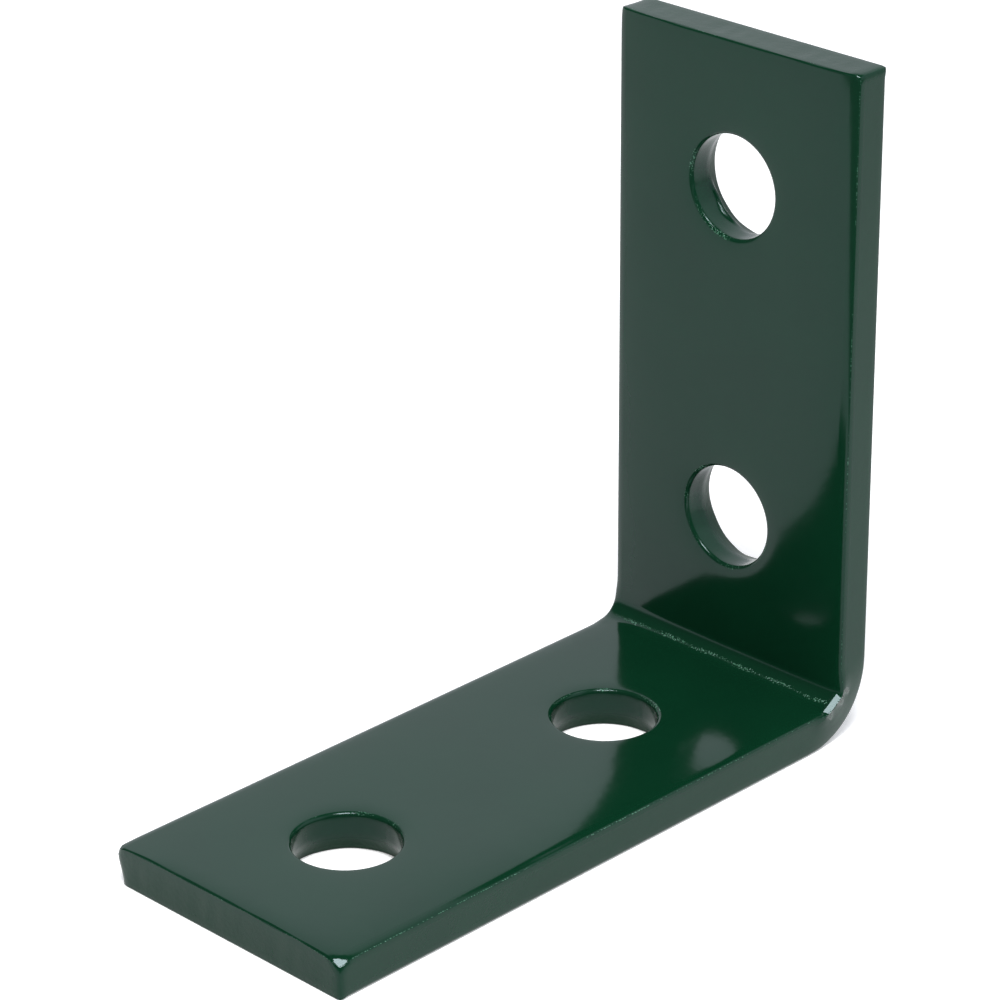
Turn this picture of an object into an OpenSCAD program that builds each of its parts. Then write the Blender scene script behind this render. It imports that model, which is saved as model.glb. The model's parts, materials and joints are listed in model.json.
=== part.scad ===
// Angle bracket for bolting framing channel together: one flat steel bar,
// punched with four round holes, sheared to length and folded once through 90 degrees.
// The foot lies along X with its toe at +X, the upright stands along Z at the heel,
// and the bar's width is Y. Origin: middle of the outline, on the surface it stands on.

/* [Flat bar] */
// Width of the bar
bar_w = 41.3; // [36:0.1:60]
// Thickness of the bar
bar_t = 6; // [4.5:0.1:8]
// Rounding of the long edges on the inside of the angle
edge_r = 1.4; // [0.4:0.1:1.8]
// Rounding of the long edges on the outside of the angle
back_edge_r = 0.6; // [0.2:0.1:1]

/* [Legs] */
// Length of the foot, from the back of the upright to the toe
foot_l = 98; // [90:0.5:140]
// Height of the upright, from the underside of the foot to the top
upright_h = 94.8; // [90:0.1:140]

/* [Fold] */
// Inner radius of the fold
fold_in_r = 1.5; // [1:0.1:4]
// Thickness that the metal loses at the middle of the fold
fold_thin = 1; // [0.2:0.05:2]
// Height of the rib of metal squeezed out of each side of the fold
rib_h = 0.5; // [0.2:0.1:0.9]

/* [Punched holes] */
// Diameter of each hole's straight wall
hole_d = 14.3; // [10:0.1:18]
// Distance between the two holes of a leg
hole_pitch = 47.6; // [40:0.1:52]
// Distance from the toe to the middle of its nearest hole
toe_gap = 20.7; // [16:0.1:26]
// Distance from the top of the upright to the middle of its nearest hole
top_gap = 20.1; // [16:0.1:26]
// Radius of the edge that the punch drew down round each hole
hole_rim_r = 0.6; // [0.2:0.1:1]
// Length of the straight wall that the punch cut
hole_land = 2.4; // [1.5:0.1:3]
// Extra radius where the slug tore out at the back of each hole
hole_flare = 1; // [0.1:0.1:1.4]

/* [Sheared ends] */
// Rounding of the inside edge of the toe and of the top
end_r = 0.5; // [0.2:0.1:1]
// Rounding of the four outer corners, seen square on to a leg
corner_r = 0.7; // [0.2:0.1:2]

/* [Colour] */
// Colour of the glossy enamel
enamel = "#0f3a2a"; // ["#0f3a2a", "#5a5f63", "#c9ccce"]

/* [Hidden] */
$fn = 96;

// How far a cutter runs past the surface that it opens
over = 0.5;
// Distance of the fold's inner axis from the back of each leg
fold_in_c = bar_t + fold_in_r;
// The outer arc is wider than the inner one plus the bar, which thins the metal between them
fold_out_r = fold_in_c + fold_thin / (sqrt(2) - 1);
// Metal left between the rib and the faces of the fold
rib_skin = 0.2;
// The rib just fits the thinned metal
rib_r = (bar_t - fold_thin) / 2 - rib_skin;
rib_axis_r = fold_in_r + rib_skin + rib_r;
rib_y = bar_w / 2 + rib_h - rib_r;
hole_r = hole_d / 2;
tear_h = bar_t - hole_rim_r - hole_land;

// What rounding takes off a square corner whose two faces meet at the origin,
// with the metal at negative X and Y
module corner_waste(r) {
    difference() {
        translate([-r, -r])
            square(r + over);
        translate([-r, -r])
            circle(r);
    }
}

// Side view of the folded bar: X runs along the foot and Y up the upright, from the heel
module side_view() {
    difference() {
        union() {
            translate([fold_out_r, fold_out_r])
                circle(fold_out_r);
            translate([fold_out_r, 0])
                square([foot_l - fold_out_r, upright_h]);
            translate([0, fold_out_r])
                square([foot_l, upright_h - fold_out_r]);
        }
        union() {
            translate([fold_in_c, fold_in_c])
                circle(fold_in_r);
            translate([fold_in_c, bar_t])
                square([foot_l, upright_h]);
            translate([bar_t, fold_in_c])
                square([foot_l, upright_h]);
        }
        translate([foot_l, bar_t])
            corner_waste(end_r);
        translate([bar_t, upright_h])
            corner_waste(end_r);
    }
}

// Sets a shape drawn on the foot on the upright instead, in the mirror plane that halves
// the angle of the fold
module on_upright() {
    mirror([1, 0, -1])
        children();
}

module both_sides() {
    children();
    mirror([0, 1, 0])
        children();
}

// Carries a section along the foot: its X lies across the bar and its Y points up
module along_foot(start, length) {
    translate([start, 0, 0])
        rotate([90, 0, 90])
            linear_extrude(length)
                children();
}

// Carries a section a quarter turn round an axis across the bar, from the foot to the upright:
// its X is the distance from that axis and its Y lies across the bar
module round_fold(axis_c) {
    translate([axis_c, 0, axis_c])
        rotate([-90, 0, 0])
            rotate([0, 0, 90])
                rotate_extrude(angle = 90)
                    children();
}

// What rounding takes off one side's long edges round the fold
module fold_edge_waste() {
    round_fold(fold_in_c)
        translate([fold_in_r, bar_w / 2])
            mirror([1, 0])
                corner_waste(edge_r);
    round_fold(fold_out_r)
        translate([fold_out_r, bar_w / 2])
            corner_waste(back_edge_r);
}

// What rounding takes off one side's long edges and end corner on a leg, past the fold
module leg_edge_waste(leg_l) {
    along_foot(fold_in_c, leg_l)
        translate([bar_w / 2, bar_t])
            corner_waste(edge_r);
    along_foot(fold_out_r, leg_l)
        translate([bar_w / 2, 0])
            mirror([0, 1])
                corner_waste(back_edge_r);
    translate([leg_l, bar_w / 2, -over])
        linear_extrude(bar_t + 2 * over)
            corner_waste(corner_r);
}

// Where the rib's round end shows on the foot, with the ball's poles inside the metal
module rib_end() {
    translate([fold_in_c, rib_y, fold_in_c - rib_axis_r])
        rotate([0, 90, 0])
            sphere(rib_r);
}

// The bead of metal that the fold squeezes out of one side of the bar: it follows the inner
// radius and ends in a round nose on each leg
module squeezed_rib() {
    round_fold(fold_in_c)
        translate([rib_axis_r, rib_y])
            circle(rib_r);
    rib_end();
    on_upright()
        rib_end();
}

// Cutter for one punched hole, standing on the outer face of the bar: the flare where the
// slug tore out, the straight wall behind the punch, and the rim that it drew down
module punched_hole() {
    translate([0, 0, -over])
        cylinder(h = over, r = hole_r + hole_flare);
    cylinder(h = tear_h, r1 = hole_r + hole_flare, r2 = hole_r);
    translate([0, 0, -over])
        cylinder(h = bar_t + 2 * over, r = hole_r);
    translate([0, 0, bar_t])
        rotate_extrude()
            translate([hole_r, 0])
                mirror([1, 0])
                    corner_waste(hole_rim_r);
}

module leg_holes(leg_l, end_gap) {
    for (i = [0:1])
        translate([leg_l - end_gap - i * hole_pitch, 0, 0])
            punched_hole();
}

module folded_bar() {
    difference() {
        rotate([90, 0, 0])
            linear_extrude(bar_w, center = true)
                side_view();
        both_sides() {
            fold_edge_waste();
            leg_edge_waste(foot_l);
            on_upright()
                leg_edge_waste(upright_h);
        }
    }
    both_sides()
        squeezed_rib();
}

module angle_bracket() {
    color(enamel)
        translate([-foot_l / 2, 0, 0])
            difference() {
                folded_bar();
                leg_holes(foot_l, toe_gap);
                on_upright()
                    leg_holes(upright_h, top_gap);
            }
}

angle_bracket();
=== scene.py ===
"""Dresses the angle bracket: one folded flat bar of steel under dark green gloss enamel.

Lengths are millimetres until a mesh is made, and then metres. The bar is first thought of as
flat: s runs along it from the top of the upright over the fold to the toe, y runs across it,
and depth runs from the inside face of the angle (0) to the outside face (its thickness).
"""

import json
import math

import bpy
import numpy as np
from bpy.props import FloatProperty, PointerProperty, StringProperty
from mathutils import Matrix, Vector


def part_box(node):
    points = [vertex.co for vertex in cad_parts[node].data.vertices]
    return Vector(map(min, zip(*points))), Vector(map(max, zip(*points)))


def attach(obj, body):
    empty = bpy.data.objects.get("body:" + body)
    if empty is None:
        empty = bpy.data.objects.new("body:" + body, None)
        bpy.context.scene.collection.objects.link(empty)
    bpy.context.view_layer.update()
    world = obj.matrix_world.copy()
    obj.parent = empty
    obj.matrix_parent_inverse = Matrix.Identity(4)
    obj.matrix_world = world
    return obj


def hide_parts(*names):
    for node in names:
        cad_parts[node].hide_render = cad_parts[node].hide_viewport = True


bl_info = {
    "name": "Angle bracket",
    "version": (1, 0, 0),
    "blender": (4, 5, 0),
    "location": "View3D > Sidebar > Angle bracket",
    "description": "Builds a folded, punched and enamelled steel bracket and its studio",
    "category": "Object",
}

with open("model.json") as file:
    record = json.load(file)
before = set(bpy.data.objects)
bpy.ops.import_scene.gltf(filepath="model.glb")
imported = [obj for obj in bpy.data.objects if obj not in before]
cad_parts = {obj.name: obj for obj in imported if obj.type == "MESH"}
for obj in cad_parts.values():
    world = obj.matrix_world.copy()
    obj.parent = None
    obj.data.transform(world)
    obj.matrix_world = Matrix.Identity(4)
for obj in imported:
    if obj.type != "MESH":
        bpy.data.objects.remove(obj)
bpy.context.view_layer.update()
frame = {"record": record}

NODE = "angle_bracket"
MM = 0.001
BOX_LOW, BOX_HIGH = (np.array(corner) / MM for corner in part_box(NODE))
MOUNTS = {m["name"]: m for m in frame["record"]["mounts"]}


def mount_mm(name, axis):
    """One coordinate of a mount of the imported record, in millimetres."""
    return MOUNTS[name]["pos_m"][axis] / MM


FOOT_L = float(BOX_HIGH[0] - BOX_LOW[0])
UPRIGHT_H = float(BOX_HIGH[2])
BAR_T = float(mount_mm("foot_inside", 2))
HOLE_R = float(MOUNTS["foot_hole_toe"]["dims"]["r_mm"])
HOLE_LAND = float(MOUNTS["foot_hole_toe"]["dims"]["length_mm"])
# Middles of the holes: from the heel along the foot, and up from the foot's underside
FOOT_HOLES = [mount_mm(n, 0) - float(BOX_LOW[0]) for n in ("foot_hole_heel", "foot_hole_toe")]
UPRIGHT_HOLES = [mount_mm(n, 2) for n in ("upright_hole_high", "upright_hole_low")]

# Distance from a face's edge to its next row of vertices, mm, which holds the face flat beside its
# rounding
HOLD = 0.08
# Half the side of the square block of cells round each hole, mm
HOLE_BLOCK = 13.5
# Bevel between a hole's flare and the outside face, mm
BACK_BEVEL = 0.12
# Radius at which the waves round a hole are laid out, mm
WAVE_R = 7

# Level heading, as a unit vector, from the bracket towards its viewer
SHEET_AHEAD = (0.707, 0.707, 0.0)
# Heading of a facet that mirrors the softbox to the camera
GLINT = (0.47, 0.49, 0.73)


class BarSizes(bpy.types.PropertyGroup):
    """Sizes of the folded bar in millimetres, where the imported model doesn't give them."""

    bead: FloatProperty(name="Bead", description="Metal squeezed out of each side of the fold, mm",
                        default=0.5, min=0, max=1)
    edge_w: FloatProperty(name="Inside edge, width",
                          description="Width of the long inside edges' rounding, mm",
                          default=1.4, min=0.2, max=3)
    edge_r: FloatProperty(name="Inside edge, depth",
                          description="Depth of the long inside edges' rounding, mm",
                          default=0.3, min=0.2, max=1.4)
    roll: FloatProperty(name="Rolled-off edge", description="Drop of the inside face at its long edges, mm",
                        default=0.6, min=0, max=1.2)
    roll_reach: FloatProperty(name="Roll's reach", description="Distance over which the roll fades, mm",
                              default=4.0, min=1, max=8)
    back_edge_r: FloatProperty(name="Outside edge", description="Rounding of the long outside edges, mm",
                               default=0.6, min=0.2, max=1)
    end_r: FloatProperty(name="Sheared edge", description="Mean rounding of the ends' inside edge, mm",
                         default=0.3, min=0.2, max=1)
    burr_r: FloatProperty(name="Burr edge", description="Rounding of the ends' outside edge, mm",
                          default=0.2, min=0.05, max=0.5)
    corner_r: FloatProperty(name="Corner", description="Rounding of the end corners, mm",
                            default=0.5, min=0.2, max=2)
    fold_in_r: FloatProperty(name="Fold, inside",
                             description="Radius of the enamel that pools in the fold, mm",
                             default=2.3, min=1, max=4)
    fold_out_r: FloatProperty(name="Fold, outside", description="Outer radius of the fold, mm",
                              default=9.91, min=7, max=12)
    hole_rim_r: FloatProperty(name="Hole rim", description="Rounding of each hole's drawn rim, mm",
                              default=0.6, min=0.2, max=1)
    hole_flare: FloatProperty(name="Hole flare", description="Extra radius at each hole's back, mm",
                              default=1.0, min=0.1, max=1.4)
    cell: FloatProperty(name="Cell", description="Size of the mesh's cells, mm",
                        default=0.62, min=0.4, max=2)
    waviness: FloatProperty(name="Waviness", description="Height of the flat faces' slow waves, mm",
                            default=0.012, min=0, max=0.1)


class EnamelFinish(bpy.types.PropertyGroup):
    """Look of the enamel."""

    colour: StringProperty(name="Enamel", description="Colour of the enamel, sRGB hex",
                           default="#072d1b")
    # The specks' pale colour: partly the film's real crazing and wear, partly a painted highlight
    crazed_and_glint: StringProperty(name="Crazed enamel", description="Colour of the enamel's specks, sRGB hex",
                           default="#44705a")
    roughness: FloatProperty(name="Roughness", description="Roughness of the gloss",
                             default=0.12, min=0, max=1)
    ior: FloatProperty(name="IOR", description="Refractive index of the enamel", default=1.35,
                       min=1, max=2)


class StudioSettings(bpy.types.PropertyGroup):
    """Sheet, room, softbox and camera."""

    floor: StringProperty(name="Floor", description="Colour of the sheet, sRGB hex",
                          default="#fafafa")
    walls: FloatProperty(name="Walls", description="Brightness of the room near the horizon",
                         default=0.90, min=0, max=2)
    ceiling: FloatProperty(name="Ceiling", description="Brightness of the room overhead",
                           default=0.12, min=0, max=2)
    lift: FloatProperty(name="Sheet's lift", description="Light added to the sheet for the camera",
                        default=0.30, min=0, max=1)
    mirror_lift: FloatProperty(name="Mirrored lift", description="Light added to the sheet for mirrors",
                               default=0.10, min=0, max=1)
    # Distance ahead at which the sheet turns, in mirrors only, into a painted dark reflection; the camera
    # sees the sheet go on
    mirror_dark_from: FloatProperty(name="Sheet's end", description="From the origin to the sheet's front edge",
                             default=0.082, subtype="DISTANCE", unit="LENGTH")
    lamp: FloatProperty(name="Softbox", description="Power of the overhead softbox", default=9.3,
                        min=0, subtype="POWER", unit="POWER")
    lens: FloatProperty(name="Lens", description="Focal length on a 36 mm wide sensor, mm",
                        default=148.45, min=20, max=400)
    azimuth: FloatProperty(name="Azimuth", description="Camera's turn about Z from looking along +Y",
                           default=math.radians(134.80), subtype="ANGLE", unit="ROTATION")
    elevation: FloatProperty(name="Elevation", description="Camera's height angle",
                             default=math.radians(24.85), subtype="ANGLE", unit="ROTATION")
    roll: FloatProperty(name="Roll", description="Camera's turn about its own view",
                        default=math.radians(-0.35), subtype="ANGLE", unit="ROTATION")
    distance: FloatProperty(name="Distance", description="From the camera to the point it looks at",
                            default=0.5249, subtype="DISTANCE", unit="LENGTH")


def linear(hex_colour):
    """A #rrggbb colour as linear red, green, blue and alpha 1, by the sRGB curve."""
    srgb = np.array([int(hex_colour[i:i + 2], 16) for i in (1, 3, 5)]) / 255
    low = srgb / 12.92
    high = ((srgb + 0.055) / 1.055) ** 2.4
    return (*np.where(srgb <= 0.04045, low, high).tolist(), 1.0)


def smoothstep(low, high, x):
    """0 up to low, 1 from high on, and an even cubic change between them. Where low is the larger of
    the two, it falls instead of rising."""
    u = np.clip((x - low) / (high - low), 0, 1)
    return u * u * (3 - 2 * u)


def slow_waves(x, y, seed, wavelengths):
    """A smooth random field of about unit height: a sum of sine waves, one for each wavelength in
    millimetres, each with its own random heading and phase."""
    rng = np.random.default_rng(seed)
    total = np.zeros(np.broadcast(x, y).shape)
    for length in wavelengths:
        heading, phase = rng.uniform(0, 2 * np.pi, 2)
        total += np.sin(2 * np.pi / length * (x * np.cos(heading) + y * np.sin(heading)) + phase)
    return total / math.sqrt(len(wavelengths) / 2)


class FoldedBar:
    """Where a point of the flat bar lies once the bar is folded."""

    def __init__(self, sizes):
        self.sizes = sizes
        self.t = BAR_T
        self.half_w = float(BOX_HIGH[1]) - sizes.bead
        self.in_r = sizes.fold_in_r
        self.in_c = self.t + self.in_r
        self.out_r = sizes.fold_out_r
        # The fold is fanned out from this point, which lies a little past both tangent points
        past_tangent = 0.3
        self.fan_c = self.out_r + past_tangent
        # Angle of the fan at which its ray meets the start of the inner arc
        self.arc_from = math.atan2(self.fan_c - self.in_c, self.fan_c - self.t)
        # Length that the fan takes in s: an even share of s for each radian
        self.fan_s = 12.0
        self.s_fold = UPRIGHT_H - self.fan_c
        self.s_foot = self.s_fold + self.fan_s
        self.s_end = self.s_foot + FOOT_L - self.fan_c

    def fan_angle(self, s):
        """Angle of the fan's ray at s: 0 at the upright's end of the fold, a right angle at the foot's."""
        return np.clip((s - self.s_fold) / self.fan_s, 0, 1) * np.pi / 2

    def fan_hit(self, angle, face, centre, radius):
        """Where the fan's rays meet one side of the bar: the flat at `face` of either leg, or the arc
        of the given centre and radius that joins them. Returns x and z from the heel."""
        dx, dz = -np.cos(angle), -np.sin(angle)
        lead = self.fan_c - centre
        # Far root of |lead + distance * direction| = radius
        b = lead * (dx + dz)
        distance = -b + np.sqrt(np.maximum(b * b - 2 * lead * lead + radius * radius, 0))
        steep = np.maximum(np.maximum(-dx, -dz), 1e-9)
        flat = (self.fan_c - face) / steep
        along = self.fan_c - flat * np.minimum(-dx, -dz)
        distance = np.where(along >= centre, flat, distance)
        return self.fan_c + distance * dx, self.fan_c + distance * dz

    def section(self, s):
        """The inside point and the outside point of the bar at s, as x and z from the heel."""
        angle = self.fan_angle(s)
        in_x, in_z = self.fan_hit(angle, self.t, self.in_c, self.in_r)
        out_x, out_z = self.fan_hit(angle, 0.0, self.out_r, self.out_r)
        up = UPRIGHT_H - s
        along = self.fan_c + s - self.s_foot
        on_upright, on_foot = s < self.s_fold, s > self.s_foot
        in_x = np.where(on_upright, self.t, np.where(on_foot, along, in_x))
        in_z = np.where(on_upright, up, np.where(on_foot, self.t, in_z))
        out_x = np.where(on_upright, 0.0, np.where(on_foot, along, out_x))
        out_z = np.where(on_upright, up, np.where(on_foot, 0.0, out_z))
        return in_x, in_z, out_x, out_z

    def squeeze(self, s, y, depth):
        """How far a point near the bar's sides moves outwards. The fold bulges the sides just under
        the inside face, draws them in at the outside face, and fades along the legs. The shear tore
        the toe's far corner inwards below its middle."""
        fold_reach, bulge_at, bulge_width, draw_in, far_share = 5.2, 0.16, 0.26, 0.28, 0.55
        tear_in, tear_reach = 0.95, 4.0
        middle = self.s_fold + self.fan_s / 2
        near_fold = np.exp(-((s - middle) / fold_reach) ** 4)
        down = np.clip(depth / self.t, 0, 1)
        bulge = self.sizes.bead * np.exp(-((down - bulge_at) / bulge_width) ** 2)
        out = near_fold * (bulge - draw_in * smoothstep(0.55, 1, down)) * np.where(y < 0, far_share, 1.0)
        near_tear = np.exp(-(self.s_end - s) / tear_reach) * smoothstep(0.3, 1, down)
        torn = tear_in * np.where(y < 0, near_tear, 0.0)
        near_side = smoothstep(self.half_w - 4.5, self.half_w - 0.3, np.abs(y))
        return np.sign(y) * (out - torn) * near_side

    def place(self, s, y, depth):
        """Folds flat points: depth slides a point from the section's inside point to its outside
        point. Returns rows of x, y and z in millimetres, in the row's frame."""
        in_x, in_z, out_x, out_z = self.section(s)
        share = depth / self.t
        x = in_x + (out_x - in_x) * share + BOX_LOW[0]
        z = in_z + (out_z - in_z) * share
        return np.stack([x, y + self.squeeze(s, y, depth), z], -1)


def knots(low, high, cell, hold_low=0.0, hold_high=0.0):
    """Evenly spaced values from low to high, about a cell apart, with one more value close to an end
    that has a holding distance. Holding rows keep a flat face flat beside a rounding."""
    inner = np.linspace(low + hold_low, high - hold_high, max(2, round((high - low) / cell)) + 1)
    ends = [low] * (hold_low > 0), [high] * (hold_high > 0)
    return np.concatenate([ends[0], inner, ends[1]])


class Pattern:
    """The flat bar's cells. Both faces share them: strips of plain grid with a square block round
    each hole, whose cells run from the hole's rim to the block's border."""

    def __init__(self, bar):
        cell = bar.sizes.cell
        hold = HOLD / bar.half_w
        self.across = knots(-1.0, 1.0, cell / bar.half_w, hold, hold)
        self.holes = [UPRIGHT_H - z for z in UPRIGHT_HOLES]
        self.holes += [bar.s_foot + x - bar.fan_c for x in FOOT_HOLES]
        borders = [h + side * HOLE_BLOCK for h in self.holes for side in (-1, 1)]
        # The fold's cells are smaller, and smallest on its inner arc
        beside_arc, on_arc = cell * 0.7, cell * 0.25
        arc = bar.arc_from / (np.pi / 2) * bar.fan_s
        fold = [knots(borders[3], bar.s_fold, cell),
                knots(bar.s_fold, bar.s_fold + arc, beside_arc),
                knots(bar.s_fold + arc, bar.s_foot - arc, on_arc),
                knots(bar.s_foot - arc, bar.s_foot, beside_arc),
                knots(bar.s_foot, borders[4], cell)]
        fold = np.unique(np.round(np.concatenate(fold), 6))
        self.strips = [knots(0.0, borders[0], cell, HOLD), knots(borders[1], borders[2], cell), fold,
                       knots(borders[5], borders[6], cell), knots(borders[7], bar.s_end, cell, 0.0, HOLD)]
        self.block_s = [knots(borders[2 * i], borders[2 * i + 1], cell) for i in range(4)]


def ring_of_block(s_knots, across):
    """Once round a block's border: along s at the far side, across, back along s at the near side,
    and back across. Returns the indices along s and the indices across."""
    n, m = len(s_knots) - 1, len(across) - 1
    i = np.concatenate([np.arange(n), np.full(m, n), np.arange(n, 0, -1), np.zeros(m, int)])
    j = np.concatenate([np.zeros(n, int), np.arange(m), np.full(n, m), np.arange(m, 0, -1)])
    return i, j


class MeshParts:
    """Collects vertices and faces of one closed mesh."""

    def __init__(self):
        self.points, self.quads, self.count = [], [], 0
        self.cut, self.crease = [], []

    def add(self, points, cut=0.0, crease=0.0):
        """Adds points, of any grid shape, with how far each is cut metal and how far its enamel has specks
        from crazing and from wear, painted pale partly as a painted highlight. Returns their numbers in the
        grid's shape."""
        number = self.count + np.arange(points[..., 0].size).reshape(points.shape[:-1])
        self.points.append(points.reshape(-1, 3))
        self.cut.append(np.broadcast_to(cut, points.shape[:-1]).reshape(-1))
        self.crease.append(np.broadcast_to(crease, points.shape[:-1]).reshape(-1))
        self.count += number.size
        return number

    def skin(self, grid, flip=False):
        """Faces between the rows and columns of a grid of vertex numbers."""
        a, b, c, d = grid[:-1, :-1], grid[1:, :-1], grid[1:, 1:], grid[:-1, 1:]
        quads = np.stack([a, b, c, d] if not flip else [a, d, c, b], -1)
        self.quads.append(quads.reshape(-1, 4))


def face_points(bar, pattern, side):
    """Positions on one face of the bar: a function from the pattern's s and share across to the
    face's s and y. `side` is 0 on the inside face and 1 on the outside face."""
    sizes = bar.sizes
    inset_y = (sizes.edge_w, sizes.back_edge_r)[side]
    inset_s = (sizes.end_r, sizes.burr_r)[side]
    first, last = pattern.strips[0][-1], pattern.strips[4][0]

    def where(s, share):
        # The first and last strips are squeezed so that the face stops at its inset
        top = 1 - inset_s / first
        toe = 1 - inset_s / (bar.s_end - last)
        s_in = np.where(s < first, first - (first - s) * top, np.where(s > last, last + (s - last) * toe, s))
        return s_in, share * (bar.half_w - inset_y)

    return where


def rolled_off(bar, s, y):
    """Depth of the inside face below its flat middle: the long edges are rolled off, and the shears
    drew down the ends and their corners."""
    corner_drop, corner_reach, lip_reach = 0.05, 2.2, 1.1
    top_lip, far_toe_lip, more_toe_lip = 0.05, 0.08, 0.12
    sizes = bar.sizes
    to_end = np.minimum(s, bar.s_end - s)
    to_side = bar.half_w - np.abs(y)
    roll = sizes.roll * np.exp(-to_side / sizes.roll_reach)
    corner = corner_drop * np.exp(-(to_end / corner_reach) ** 2 - (to_side / corner_reach) ** 2)
    toe_lip = far_toe_lip + more_toe_lip * smoothstep(-15, -9, y)
    lip = np.where(s > bar.s_end / 2, toe_lip, top_lip) * np.exp(-to_end / lip_reach)
    return roll + corner + lip


def face_depth(bar, pattern, side):
    """Depth of one face's points: a function of s and y. Both faces have slow waves, and the inside
    face is also rolled off at its edges and dished round each hole, where the punch drew it down."""
    wavelengths = (41, 33, 27, 22, 18)
    dish_depth, dish_reach, still_edge = 0.14, 1.1, 3
    rim = HOLE_R + bar.sizes.hole_rim_r

    def depth(s, y):
        wave = bar.sizes.waviness * slow_waves(s, y, 11 + side, wavelengths)
        if side:
            return bar.t - np.abs(wave) * 0.5
        from_rims = [np.maximum(np.hypot(s - hole, y) - rim, 0) for hole in pattern.holes]
        dish = sum(dish_depth * np.exp(-from_rim / dish_reach) for from_rim in from_rims)
        return wave * smoothstep(0, still_edge, bar.half_w - np.abs(y)) + rolled_off(bar, s, y) + dish

    return depth


def crease_line(bar, s, y):
    """How far the enamel has specks of crazing, whose pale colour is partly a painted highlight: a ragged
    line where the fold runs out into the foot, with its specks within about 0.8 mm of it."""
    share_of_fold, wander, width = 0.58, 0.12, 1.1
    middle = bar.s_fold + bar.fan_s * share_of_fold + wander * slow_waves(y, 0 * y, 61, (7.3, 3.1, 1.7))
    patchy = 0.92 + 0.10 * slow_waves(y, 0 * y, 62, (17.0, 4.7, 2.3))
    return patchy * np.exp(-((s - middle) / width) ** 2)


def blunt_corner(points, corner, facing, cut):
    """Flattens the metal near a corner: what stands above a plane that faces one way, and lies the
    given cut below the corner's highest point, comes down to it."""
    reach = 3.5
    facing = np.array(facing) / np.linalg.norm(facing)
    near = np.linalg.norm(points - corner, axis=1) < reach
    height = points @ facing
    level = height[near].max() - cut
    over = np.where(near, np.maximum(height - level, 0), 0)
    return points - over[:, None] * facing


def blunt_corners(bar, points):
    """Blunts the bar's two near corners with small facets that mirror the softbox, and the toe's far
    corner twice: mostly from above, and then mostly from its side."""
    near_toe = (BOX_HIGH[0], bar.half_w, bar.t - 1)
    near_top = (BOX_LOW[0] + bar.t - 1, bar.half_w, BOX_HIGH[2])
    far_toe = (BOX_HIGH[0], -bar.half_w, bar.t - 1)
    points = blunt_corner(points, near_toe, GLINT, cut=0.50)
    points = blunt_corner(points, near_top, GLINT, cut=0.16)
    points = blunt_corner(points, far_toe, (0.50, -0.45, 0.74), cut=0.25)
    return blunt_corner(points, far_toe, (0.45, -0.80, 0.40), cut=0.12)


def fill_fold_corner(bar, points):
    """The lump of squeezed metal at the near end of the crease. Its height over the angle's inner
    corner is greatest just inside the near side. From there it falls outwards as a flat facet, and
    faster back into the crease."""
    height, peak_in, fall_out, fall_in = 1.12, 0.5, 0.5645, 1.5
    up = np.array([0.541, 0.841])
    inner = np.array([BOX_LOW[0] + bar.t, bar.t])
    past_peak = peak_in - (bar.half_w - points[:, 1])
    level = height - np.where(past_peak > 0, fall_out, -fall_in) * past_peak
    out = points[:, [0, 2]] - inner
    lack = level - out @ up
    # Only metal a little below the lump's surface, and close to the inner corner, is raised to it
    rise = np.maximum(lack, 0) * smoothstep(1.8, 0.9, lack) * smoothstep(3.0, 2.3, np.hypot(*out.T))
    return points + rise[:, None] * np.array([up[0], 0, up[1]])


def tear(heading, k):
    """Ragged extra radius of a hole's torn back, in millimetres, round the hole."""
    raggedness, layout_r = 0.05, 3.0
    x, y = layout_r * np.cos(heading), layout_r * np.sin(heading)
    return raggedness * slow_waves(x, y, 70 + k, (3.1, 2.2, 1.6))


def add_hole_block(parts, bar, pattern, side, k, strips):
    """Adds one hole's block on one face, as rings that change from the hole's round rim to the block's
    square border and crowd at the rim. The border's ends are rows of the strips beside it, and its
    sides are new. Returns the sides' numbers, and the rim's numbers, headings and depths."""
    where, depth = face_points(bar, pattern, side), face_depth(bar, pattern, side)
    s_knots = pattern.block_s[k]
    s, y = where(*np.meshgrid(s_knots[1:-1], [-1.0, 1.0], indexing="ij"))
    sides = parts.add(bar.place(s, y, depth(s, y)))
    border = np.full((len(s_knots), len(pattern.across)), -1)
    border[0], border[-1] = strips[k][-1], strips[k + 1][0]
    border[1:-1, 0], border[1:-1, -1] = sides[:, 0], sides[:, 1]

    i, j = ring_of_block(s_knots, pattern.across)
    s_ring, y_ring = where(s_knots[i], pattern.across[j])
    centre = pattern.holes[k]
    reach = np.hypot(s_ring - centre, y_ring)
    heading = np.arctan2(y_ring, s_ring - centre)
    rim = HOLE_R + (bar.sizes.hole_rim_r, bar.sizes.hole_flare + BACK_BEVEL)[side]
    # The rings' places between the rim (0) and the border (1), with a holding ring beside the rim
    holding, first, crowding = 0.006, 0.025, 1.35
    shares = first + (1 - first) * np.linspace(0, 1, 12)[:-1] ** crowding
    shares = np.concatenate([[0.0, holding], shares])[:, None]
    radius = rim + (reach - rim) * shares
    if side:
        radius = radius + tear(heading, k)[None] * (1 - shares) ** 4
    s = centre + radius * np.cos(heading)
    y = radius * np.sin(heading)
    rings = np.vstack([parts.add(bar.place(s, y, depth(s, y))), border[i, j]])
    rings = np.hstack([rings, rings[:, :1]])
    parts.skin(rings, flip=bool(side))
    return sides, (rings[0], heading, depth(s[0], y[0]))


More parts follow.
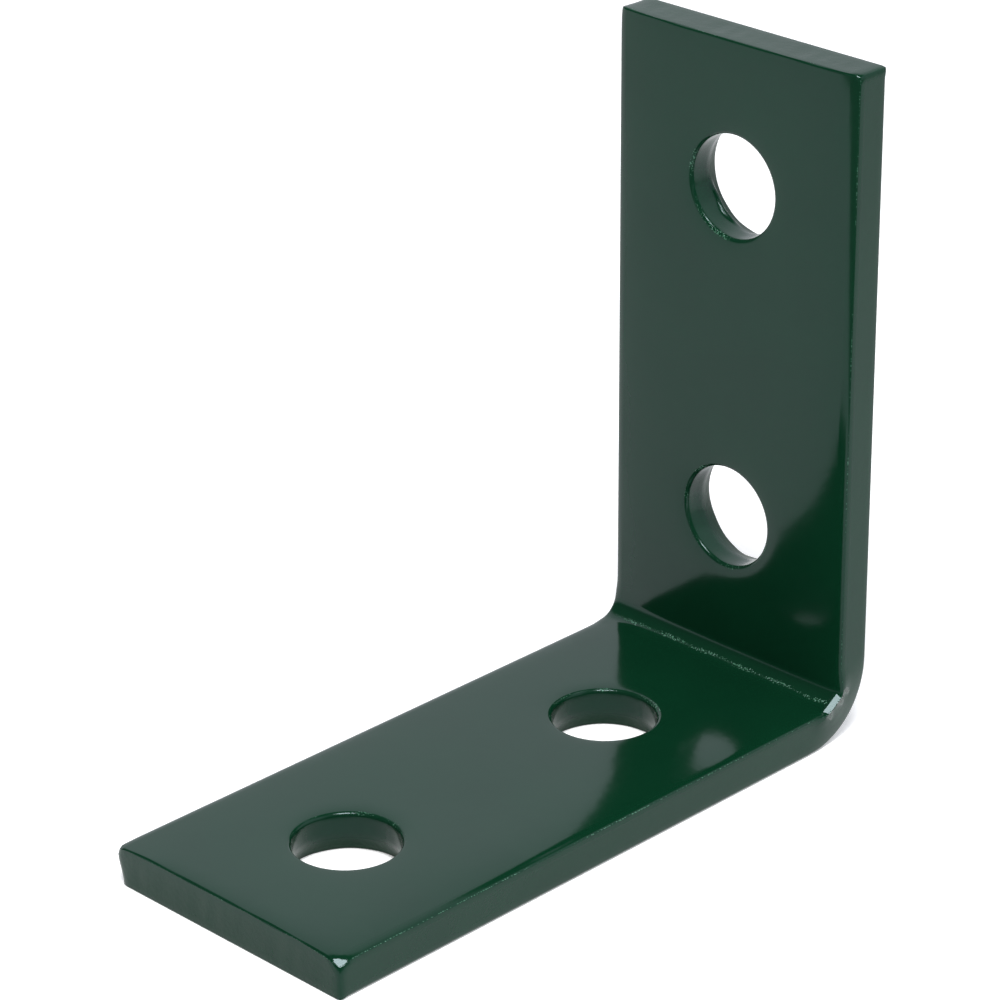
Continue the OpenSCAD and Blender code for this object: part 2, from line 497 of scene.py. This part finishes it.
def add_face(parts, bar, pattern, side):
    """Adds one face of the bar: its strips, and a block of rings round each hole. Returns the numbers
    of the strips and of the blocks' sides, and the holes' rims."""
    where, depth = face_points(bar, pattern, side), face_depth(bar, pattern, side)
    strips = []
    for strip in pattern.strips:
        s, y = where(*np.meshgrid(strip, pattern.across, indexing="ij"))
        crease = 0.0 if side else crease_line(bar, s, y)
        strips.append(parts.add(bar.place(s, y, depth(s, y)), crease=crease))
    for grid in strips:
        parts.skin(grid, flip=bool(side))
    blocks = [add_hole_block(parts, bar, pattern, side, k, strips) for k in range(len(pattern.holes))]
    sides, rims = zip(*blocks)
    return strips, sides, rims


def enamel_run(heading, depth):
    """A run of thick enamel on the wall of the upper hole, from 0 to 1: it hangs over the ledge where
    the slug tore out, about 26 degrees to either side of its middle."""
    middle, half_width, height = -0.80, 0.45, 0.42
    turn = heading - middle
    ledge = 3.9 + 0.12 * slow_waves(turn * WAVE_R, 0 * turn, 95, (4.1, 2.3))
    return np.exp(-(turn / half_width) ** 4 - ((depth - ledge) / height) ** 2)


def hole_wall(parts, bar, pattern, k, front, back):
    """One hole's wall, as rings from the inside face to the outside face: a quarter round rim, a
    straight land, then a cone that widens to the torn back."""
    run_height, roughness = 0.50, 0.012
    sizes = bar.sizes
    front_ring, heading, start = front
    heading, start = heading[None], start[None]
    rim = sizes.hole_rim_r
    torn_l = bar.t - rim - HOLE_LAND
    phi = np.linspace(0, np.pi / 2, 9)[1:, None]
    rim_r = HOLE_R + rim * (1 - np.sin(phi)) + 0 * heading
    rim_d = start + rim * (1 - np.cos(phi)) * (1 - start / 4)
    land_d = np.linspace(rim, rim + HOLE_LAND, 5)[1:4, None] + 0 * heading
    u = np.linspace(0, 1, 15)[:, None]
    cone_r = HOLE_R + sizes.hole_flare * u ** 1.5 + tear(heading, k) * u
    cone_d = rim + HOLE_LAND + (torn_l - BACK_BEVEL) * u + 0 * heading
    radius = np.concatenate([rim_r, np.full(land_d.shape, HOLE_R), cone_r])
    depth = np.concatenate([rim_d, land_d, cone_d])
    rough = roughness * slow_waves(heading * WAVE_R, depth, 90 + k, (9.3, 6.1, 4.1))
    radius = radius + rough * smoothstep(rim * 0.5, rim + 1.0, depth)
    # Only the upper hole, the pattern's first, has the run
    run = (k == 0) * enamel_run(heading, depth)
    radius = radius - run_height * run
    s = pattern.holes[k] + radius * np.cos(heading)
    y = radius * np.sin(heading)
    # The punch burnished the straight land, the torn cone behind it is rough, and the run is smooth
    past_land = depth - rim - HOLE_LAND
    cut = (0.25 + 0.75 * smoothstep(0.0, 2.2, past_land)) * smoothstep(0, rim, depth) * (1 - 0.9 * run)
    # Specks sit in the film on the drawn rim; their pale colour is partly a painted highlight, which breaks
    # up the rim's glint
    patchy = slow_waves(WAVE_R * np.cos(heading), WAVE_R * np.sin(heading), 80 + k, (15.0, 8.0, 5.0))
    specks = (0.70 + 0.13 * patchy) * smoothstep(rim + 0.6, rim * 0.6, depth)
    wall = parts.add(bar.place(s, y, depth), cut, specks)
    wall = np.hstack([wall, wall[:, :1]])
    parts.skin(np.vstack([front_ring[None], wall, back[0][None]]), flip=True)


def along_bar(strips, blocks):
    """The strips with the blocks between them, in their order along the bar."""
    pieces = [strips[0]]
    for block, strip in zip(blocks, strips[1:]):
        pieces += [block, strip]
    return pieces


def border_ring(strips, sides):
    """Vertex numbers of one face's border, once round the whole bar: along the far long side from
    top to toe, across the toe, back along the near long side, and across the top."""
    pieces = along_bar(strips, sides)
    far = np.concatenate([piece[:, 0] for piece in pieces])
    near = np.concatenate([piece[:, -1] for piece in pieces])
    return np.concatenate([far[:-1], strips[-1][-1][:-1], near[:0:-1], strips[0][0][:0:-1]])


def border_flat(pattern):
    """s and the share across of the border's vertices, in the order of border_ring, and whether each
    of them lies on an end."""
    s = np.concatenate(along_bar(pattern.strips, [block[1:-1] for block in pattern.block_s]))
    a = pattern.across
    n, m = len(s) - 1, len(a) - 1
    s_all = np.concatenate([s[:-1], np.full(m, s[-1]), s[:0:-1], np.full(m, s[0])])
    share = np.concatenate([np.full(n, -1.0), a[:-1], np.full(n, 1.0), a[:0:-1]])
    return s_all, share, np.repeat([False, True, False, True], [n, m, n, m])


def outline(bar, s, y, on_end):
    """The bar's outline beside each border vertex of a face: a rectangle in s and y with rounded
    corners. The last half millimetre before a face's corner is spread over half the corner's arc."""
    r = bar.sizes.corner_r
    spread, fade = 0.5, 1.5
    # Work in the corner nearest to each vertex: a from the end, b from the side, both inwards
    from_top = s < bar.s_end / 2
    a = np.where(from_top, s, bar.s_end - s)
    b = bar.half_w - np.abs(y)
    corner_a, corner_b = a.min(), b.min()
    run = np.where(on_end, b - corner_b, a - corner_a)
    along = np.where(on_end, corner_b, corner_a)
    start = along + spread - r
    half = np.clip(run / spread, 0, 1) * np.pi / 4
    arc_far = r - r * np.sin(np.pi / 4 - half)
    arc_in = r - r * np.cos(np.pi / 4 - half)
    straight = along + run - start * np.exp(-np.maximum(run - spread, 0) / fade)
    parallel = np.where(run < spread, arc_far, straight)
    square = np.where(run < spread, arc_in, 0.0)
    out_a = np.where(on_end, square, parallel)
    out_b = np.where(on_end, parallel, square)
    return np.where(from_top, out_a, bar.s_end - out_a), np.sign(y) * (bar.half_w - out_b)


def border_band(parts, bar, pattern, faces):
    """The sides and ends: for each vertex of the border, a quarter ellipse from the inside face to
    the outline, a straight wall, and a quarter ellipse to the outside face."""
    sizes = bar.sizes
    s_flat, share, end_vertex = border_flat(pattern)
    s_in, y_in = face_points(bar, pattern, 0)(s_flat, share)
    s_back, y_back = face_points(bar, pattern, 1)(s_flat, share)
    out_s, out_y = outline(bar, s_in, y_in, end_vertex)
    # How much each vertex belongs to an end instead of a long side, with a soft change at the corners
    side_less_end = bar.half_w - np.abs(y_in) - np.minimum(s_in, bar.s_end - s_in)
    on_end = smoothstep(-0.5, 0.9, side_less_end)
    lip = 1 + 0.30 * slow_waves(out_y, out_s, 31, (9.0, 5.5, 3.4))
    depth_in = sizes.edge_r * (1 - on_end) + sizes.end_r * lip * on_end
    depth_out = sizes.back_edge_r * (1 - on_end) + sizes.burr_r * on_end

    phi = np.linspace(0, np.pi / 2, 12)[1:, None]
    top_s = s_in + (out_s - s_in) * np.sin(phi)
    top_y = y_in + (out_y - y_in) * np.sin(phi)
    top_d = rolled_off(bar, top_s, top_y) + depth_in * (1 - np.cos(phi))

    # The sheared ends are rough between their edges, and the roughness only goes inwards
    roughness = 0.03 * on_end
    u = np.linspace(0, 1, 7)[1:, None]
    wall_d = top_d[-1] + (bar.t - depth_out - top_d[-1]) * u
    rough = roughness * slow_waves(out_y + 0 * u, wall_d, 52, (11.0, 7.1, 4.6)) * np.sin(np.pi * u)
    inwards = np.where(out_s < bar.s_end / 2, 1.0, -1.0)
    wall_s = out_s + inwards * np.abs(rough)
    wall_y = out_y + 0 * u

    psi = np.linspace(0, np.pi / 2, 7)[1:-1, None]
    low_s = s_back + (out_s - s_back) * np.cos(psi)
    low_y = y_back + (out_y - y_back) * np.cos(psi)
    low_d = bar.t - depth_out * (1 - np.sin(psi))

    s = np.concatenate([top_s, wall_s, low_s])
    y = np.concatenate([top_y, wall_y, low_y])
    depth = np.concatenate([top_d, wall_d, low_d])
    wall_cut, low_cut = 0.35, 0.3
    cut = np.concatenate([0 * top_d, 0 * wall_d + wall_cut, 0 * low_d + low_cut]) * (0.4 + 0.6 * on_end)
    # The film has specks of wear on the steep part of the inside edge, and most of all on the foot. Their
    # pale colour is partly a painted highlight along the edge
    steepest, width = 1.25, 0.28
    worn_least, more_on_foot, less_at_toe = 0.84, 0.13, 0.12
    steep = np.exp(-((phi - steepest) / width) ** 2)
    on_foot = smoothstep(bar.s_foot, bar.s_foot + 4, out_s)
    patchy = 0.08 * slow_waves(out_s, out_y, 63, (23.0, 13.0, 6.1))
    wear_and_glint = steep * (worn_least + (more_on_foot - less_at_toe * on_end) * on_foot + patchy)
    crease = np.concatenate([wear_and_glint, 0 * wall_d, 0 * low_d])
    band = parts.add(bar.place(s, y, depth), cut, crease)
    inside, outside = (border_ring(strips, sides) for strips, sides, _ in faces)
    band = np.vstack([inside[None], band, outside[None]])
    parts.skin(np.hstack([band, band[:, :1]]))


def make_bar_mesh(bar):
    """The whole skin of the folded bar: both faces as the flat pattern's cells, the holes' walls as
    rings and the border as a band of profiles, all folded by FoldedBar.place. Then the lump at the
    fold's near corner is raised, and the bar's corners are blunted."""
    pattern = Pattern(bar)
    parts = MeshParts()
    faces = [add_face(parts, bar, pattern, side) for side in (0, 1)]
    (_, _, front_rims), (_, _, back_rims) = faces
    for k, (front, back) in enumerate(zip(front_rims, back_rims)):
        hole_wall(parts, bar, pattern, k, front, back)
    border_band(parts, bar, pattern, faces)
    points = fill_fold_corner(bar, np.concatenate(parts.points))
    parts.points = [blunt_corners(bar, points)]
    return parts


def mesh_object(name, parts):
    """Puts the collected arrays, in millimetres, into a new mesh object, in metres."""
    points = np.concatenate(parts.points) * MM
    quads = np.concatenate(parts.quads)
    mesh = bpy.data.meshes.new(name)
    mesh.vertices.add(len(points))
    mesh.vertices.foreach_set("co", points.astype(np.float32).ravel())
    mesh.loops.add(quads.size)
    mesh.loops.foreach_set("vertex_index", quads.astype(np.int32).ravel())
    mesh.polygons.add(len(quads))
    mesh.polygons.foreach_set("loop_start", np.arange(0, quads.size, 4, dtype=np.int32))
    mesh.update(calc_edges=True)
    mesh.validate()
    mesh.polygons.foreach_set("use_smooth", np.ones(len(quads), bool))
    for label, values in (("cut_metal", parts.cut), ("crease", parts.crease)):
        attribute = mesh.attributes.new(label, "FLOAT", "POINT")
        attribute.data.foreach_set("value", np.concatenate(values).astype(np.float32))
    obj = bpy.data.objects.new(name, mesh)
    bpy.context.scene.collection.objects.link(obj)
    return obj


def add_node(tree, kind, settings=None, **links):
    """Adds a shader node. `settings` holds its properties and the values of its inputs, by name or
    number, and each link names an input by its words joined by underscores."""
    node = tree.nodes.new(kind)
    for key, value in (settings or {}).items():
        if isinstance(key, str) and hasattr(node, key):
            setattr(node, key, value)
        else:
            node.inputs[key].default_value = value
    for key, source in links.items():
        tree.links.new(source, node.inputs[key.replace("_", " ")])
    return node


def product(tree, first, second):
    """The product of two shader values."""
    node = add_node(tree, "ShaderNodeMath", {"operation": "MULTIPLY"})
    tree.links.new(first, node.inputs[0])
    tree.links.new(second, node.inputs[1])
    return node.outputs["Value"]


def noise(tree, position, size, detail):
    """Shader noise from 0 to 1, with features about as large as a size in millimetres."""
    settings = {"Scale": 1 / (size * MM), "Detail": detail}
    return add_node(tree, "ShaderNodeTexNoise", settings, Vector=position).outputs["Fac"]


def enamel_material(finish):
    """Dark green baked gloss enamel, dipped over sheared and punched steel. It is a clear, mirror-like
    film over a deep colour: it mirrors the room by Fresnel's law, and flows over small marks."""
    material = bpy.data.materials.new("green_gloss_enamel")
    material.use_nodes = True
    tree = material.node_tree
    tree.nodes.clear()
    position = add_node(tree, "ShaderNodeTexCoord").outputs["Object"]
    cut = add_node(tree, "ShaderNodeAttribute", {"attribute_name": "cut_metal"}).outputs["Fac"]
    crease = add_node(tree, "ShaderNodeAttribute", {"attribute_name": "crease"}).outputs["Fac"]

    # Uneven thickness of the film shades the colour over about 12 mm
    base = linear(finish.colour)
    thin = tuple(c * 1.18 for c in base[:3]) + (1.0,)
    thick = tuple(c * 0.86 for c in base[:3]) + (1.0,)
    film = add_node(tree, "ShaderNodeMix", {"data_type": "RGBA", 6: thick, 7: thin},
                    Factor=noise(tree, position, 12, detail=3.0))

    # Orange peel with bumps about 2.5 mm apart, and the cut faces' grain, 0.7 mm, which the film half fills
    peel_bump = add_node(tree, "ShaderNodeBump", {"Strength": 0.06, "Distance": 0.2 * MM},
                         Height=noise(tree, position, 2.5, detail=1.5))
    grain = product(tree, noise(tree, position, 0.7, detail=3.0), cut)
    grain_bump = add_node(tree, "ShaderNodeBump", {"Strength": 0.30, "Distance": 0.2 * MM},
                          Height=grain, Normal=peel_bump.outputs["Normal"])

    # Specks 0.25 mm across, where the fold's stretch left crazing in the enamel and where it wore on the
    # edges. Their pale colour is partly real and partly a painted highlight, standing in for their glints
    specks = product(tree, noise(tree, position, 0.25, detail=1.5), crease)
    crazed_and_glint = add_node(tree, "ShaderNodeMapRange", {"From Min": 0.46, "From Max": 0.58}, Value=specks)
    speck_bump = add_node(tree, "ShaderNodeBump", {"Strength": 0.6, "Distance": 0.06 * MM},
                          Height=crazed_and_glint.outputs["Result"], Normal=grain_bump.outputs["Normal"])
    colour = add_node(tree, "ShaderNodeMix", {"data_type": "RGBA", 7: linear(finish.crazed_and_glint)},
                      Factor=crazed_and_glint.outputs["Result"])
    tree.links.new(film.outputs[2], colour.inputs[6])

    # The torn metal is too rough for the film to lie smooth on it, so it mirrors less, and less sharply
    gloss = add_node(tree, "ShaderNodeMapRange", {"To Min": finish.roughness, "To Max": 0.40}, Value=cut)
    mirror = add_node(tree, "ShaderNodeMapRange", {"From Min": 0.25, "To Min": 0.5, "To Max": 0.2},
                      Value=cut)
    shader = add_node(tree, "ShaderNodeBsdfPrincipled",
                      {"IOR": finish.ior, "Specular Tint": (0.76, 0.94, 1.0, 1)},
                      Base_Color=colour.outputs[2], Specular_IOR_Level=mirror.outputs["Result"],
                      Roughness=gloss.outputs["Result"], Normal=speck_bump.outputs["Normal"])
    add_node(tree, "ShaderNodeOutputMaterial", Surface=shader.outputs["BSDF"])
    return material


class BRACKET_OT_bar(bpy.types.Operator):
    """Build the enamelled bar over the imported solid"""

    bl_idname = "bracket.bar"
    bl_label = "Enamelled bar"

    def execute(self, context):
        bar = FoldedBar(context.scene.bracket_bar)
        piece = mesh_object("enamelled_bar", make_bar_mesh(bar))
        piece.data.materials.append(enamel_material(context.scene.bracket_enamel))
        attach(piece, "root")
        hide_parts(NODE)
        return {"FINISHED"}


def area_lamp(name, place, target, size, power):
    """A square softbox at a place, turned to face a target, both in metres."""
    lamp = bpy.data.lights.new(name, "AREA")
    lamp.shape = "SQUARE"
    lamp.size = size
    lamp.energy = power
    obj = bpy.data.objects.new(name, lamp)
    bpy.context.scene.collection.objects.link(obj)
    aim = Vector(target) - Vector(place)
    obj.matrix_world = Matrix.Translation(place) @ aim.to_track_quat("-Z", "Y").to_matrix().to_4x4()


def camera_matrix(studio, target):
    """The camera's place and turn: it looks at the target from an azimuth and an elevation, then
    rolls about its own view. Azimuth 0 looks along +Y."""
    az, el, roll = studio.azimuth, studio.elevation, studio.roll
    back = Vector((math.sin(az) * math.cos(el), -math.cos(az) * math.cos(el), math.sin(el)))
    right = Vector((math.cos(az), math.sin(az), 0))
    up = back.cross(right)
    turned_right = right * math.cos(roll) + up * math.sin(roll)
    turned_up = up * math.cos(roll) - right * math.sin(roll)
    turn = Matrix((turned_right, turned_up, back)).transposed()
    return Matrix.Translation(Vector(target) + back * studio.distance) @ turn.to_4x4()


def studio_sky(studio):
    """A dim room with a white backdrop along its -X side, up to steep headings, and a pale strip all
    along the horizon."""
    world = bpy.data.worlds.new("studio_sky")
    world.use_nodes = True
    tree = world.node_tree
    tree.nodes.clear()
    heading = add_node(tree, "ShaderNodeTexCoord").outputs["Generated"]
    parts = add_node(tree, "ShaderNodeSeparateXYZ", Vector=heading)
    height = parts.outputs["Z"]
    soft = {"interpolation_type": "SMOOTHSTEP"}
    behind = add_node(tree, "ShaderNodeMapRange", {**soft, "From Min": 0.15, "From Max": -0.15},
                      Value=parts.outputs["X"])
    below_top = add_node(tree, "ShaderNodeMapRange", {**soft, "From Min": 0.86, "From Max": 0.78},
                         Value=height)
    horizon = add_node(tree, "ShaderNodeMapRange", {**soft, "From Min": 0.12, "From Max": 0.02},
                       Value=height)
    backdrop = product(tree, behind.outputs["Result"], below_top.outputs["Result"])
    pale = add_node(tree, "ShaderNodeMath", {"operation": "MAXIMUM"})
    tree.links.new(backdrop, pale.inputs[0])
    tree.links.new(horizon.outputs["Result"], pale.inputs[1])
    # The backdrop is lit from above, so it brightens upwards
    low, high = 0.94 * studio.walls, 1.22 * studio.walls
    higher = add_node(tree, "ShaderNodeMapRange",
                      {"From Min": 0.36, "From Max": 0.50, "To Min": low, "To Max": high}, Value=height)
    strength = add_node(tree, "ShaderNodeMapRange", {"To Min": studio.ceiling}, Value=pale.outputs["Value"],
                        To_Max=higher.outputs["Result"])
    light = add_node(tree, "ShaderNodeBackground", {"Color": (0.97, 0.99, 1.08, 1)},
                     Strength=strength.outputs["Result"])
    add_node(tree, "ShaderNodeOutputWorld", Surface=light.outputs["Background"])
    return world


def sheet_material(studio):
    """A white paper sheet. It is lit up a little for the camera and for mirrors, so that it is white to its
    end.
    In front of the bracket, mirrors see a painted dark reflection: past a line the sheet shows them a dim
    grey glow, while the camera sees it white on."""
    material = bpy.data.materials.new("white_sheet")
    material.use_nodes = True
    tree = material.node_tree
    tree.nodes.clear()
    position = add_node(tree, "ShaderNodeTexCoord").outputs["Object"]
    path = add_node(tree, "ShaderNodeLightPath")
    mirrored = add_node(tree, "ShaderNodeMath", {"operation": "MULTIPLY", 1: studio.mirror_lift})
    tree.links.new(path.outputs["Is Glossy Ray"], mirrored.inputs[0])
    lift = add_node(tree, "ShaderNodeMath", {"operation": "MULTIPLY_ADD", 1: studio.lift})
    tree.links.new(path.outputs["Is Camera Ray"], lift.inputs[0])
    tree.links.new(mirrored.outputs[0], lift.inputs[2])
    paper = add_node(tree, "ShaderNodeBsdfPrincipled",
                     {"Base Color": linear(studio.floor), "Roughness": 0.9, "Specular IOR Level": 0.1,
                      "Emission Color": (1, 1, 1, 1)}, Emission_Strength=lift.outputs[0])
    # Painted dark reflection: in mirrors the sheet fades into a dim grey glow over 24 mm
    half_fade = 12 * MM
    ahead = add_node(tree, "ShaderNodeVectorMath", {"operation": "DOT_PRODUCT", 1: SHEET_AHEAD})
    tree.links.new(position, ahead.inputs[0])
    past_dark_line = add_node(tree, "ShaderNodeMapRange",
                        {"interpolation_type": "SMOOTHSTEP", "From Min": studio.mirror_dark_from - half_fade,
                         "From Max": studio.mirror_dark_from + half_fade}, Value=ahead.outputs["Value"])
    dark_in_mirror = product(tree, past_dark_line.outputs["Result"], path.outputs["Is Glossy Ray"])
    # The painted dark reflection: a dim grey glow that only mirrors see, past the line
    room = add_node(tree, "ShaderNodeEmission", {"Color": (0.2, 0.2, 0.2, 1), "Strength": 1.0})
    mix = add_node(tree, "ShaderNodeMixShader", Fac=dark_in_mirror)
    tree.links.new(paper.outputs["BSDF"], mix.inputs[1])
    tree.links.new(room.outputs["Emission"], mix.inputs[2])
    add_node(tree, "ShaderNodeOutputMaterial", Surface=mix.outputs["Shader"])
    return material


class BRACKET_OT_studio(bpy.types.Operator):
    """Set the sheet, the room, the softbox and the camera"""

    bl_idname = "bracket.studio"
    bl_label = "Studio"

    def execute(self, context):
        scene = context.scene
        studio = scene.bracket_studio
        # Half the sheet's side, m
        half = 3.0
        mesh = bpy.data.meshes.new("floor")
        corners = [(-half, -half, 0), (half, -half, 0), (half, half, 0), (-half, half, 0)]
        mesh.from_pydata(corners, [], [(0, 1, 2, 3)])
        floor = bpy.data.objects.new("floor", mesh)
        scene.collection.objects.link(floor)
        mesh.materials.append(sheet_material(studio))

        scene.world = studio_sky(studio)
        area_lamp("softbox", place=(0.26, 0.27, 0.85), target=(0, 0, 0.04), size=0.35,
                  power=studio.lamp)

        camera = bpy.data.cameras.new("camera")
        camera.sensor_width = 36
        camera.lens = studio.lens
        camera.clip_start = 0.01
        target = (0.32 * MM, 0.0, 44.08 * MM)
        obj = bpy.data.objects.new("camera", camera)
        scene.collection.objects.link(obj)
        obj.matrix_world = camera_matrix(studio, target)
        scene.camera = obj
        scene.view_settings.view_transform = "Standard"
        return {"FINISHED"}


class BRACKET_PT_panel(bpy.types.Panel):
    """Lists the bracket's operators and settings"""

    bl_idname = "BRACKET_PT_panel"
    bl_label = "Angle bracket"
    bl_space_type = "VIEW_3D"
    bl_region_type = "UI"
    bl_category = "Angle bracket"

    def draw(self, context):
        for group, operator in SECTIONS:
            box = self.layout.box()
            settings = getattr(context.scene, group)
            for key in settings.bl_rna.properties.keys():
                if key not in ("rna_type", "name"):
                    box.prop(settings, key)
            if operator:
                box.operator(operator)


GROUPS = {"bracket_bar": BarSizes, "bracket_enamel": EnamelFinish, "bracket_studio": StudioSettings}
SECTIONS = [("bracket_enamel", None), ("bracket_bar", "bracket.bar"), ("bracket_studio", "bracket.studio")]
CLASSES = [*GROUPS.values(), BRACKET_OT_bar, BRACKET_OT_studio, BRACKET_PT_panel]


def register():
    for cls in CLASSES:
        bpy.utils.register_class(cls)
    for name, cls in GROUPS.items():
        setattr(bpy.types.Scene, name, PointerProperty(type=cls))


def unregister():
    for name in GROUPS:
        delattr(bpy.types.Scene, name)
    for cls in reversed(CLASSES):
        bpy.utils.unregister_class(cls)


def main():
    register()
    bpy.ops.bracket.studio()
    bpy.ops.bracket.bar()


if __name__ == "__main__":
    main()
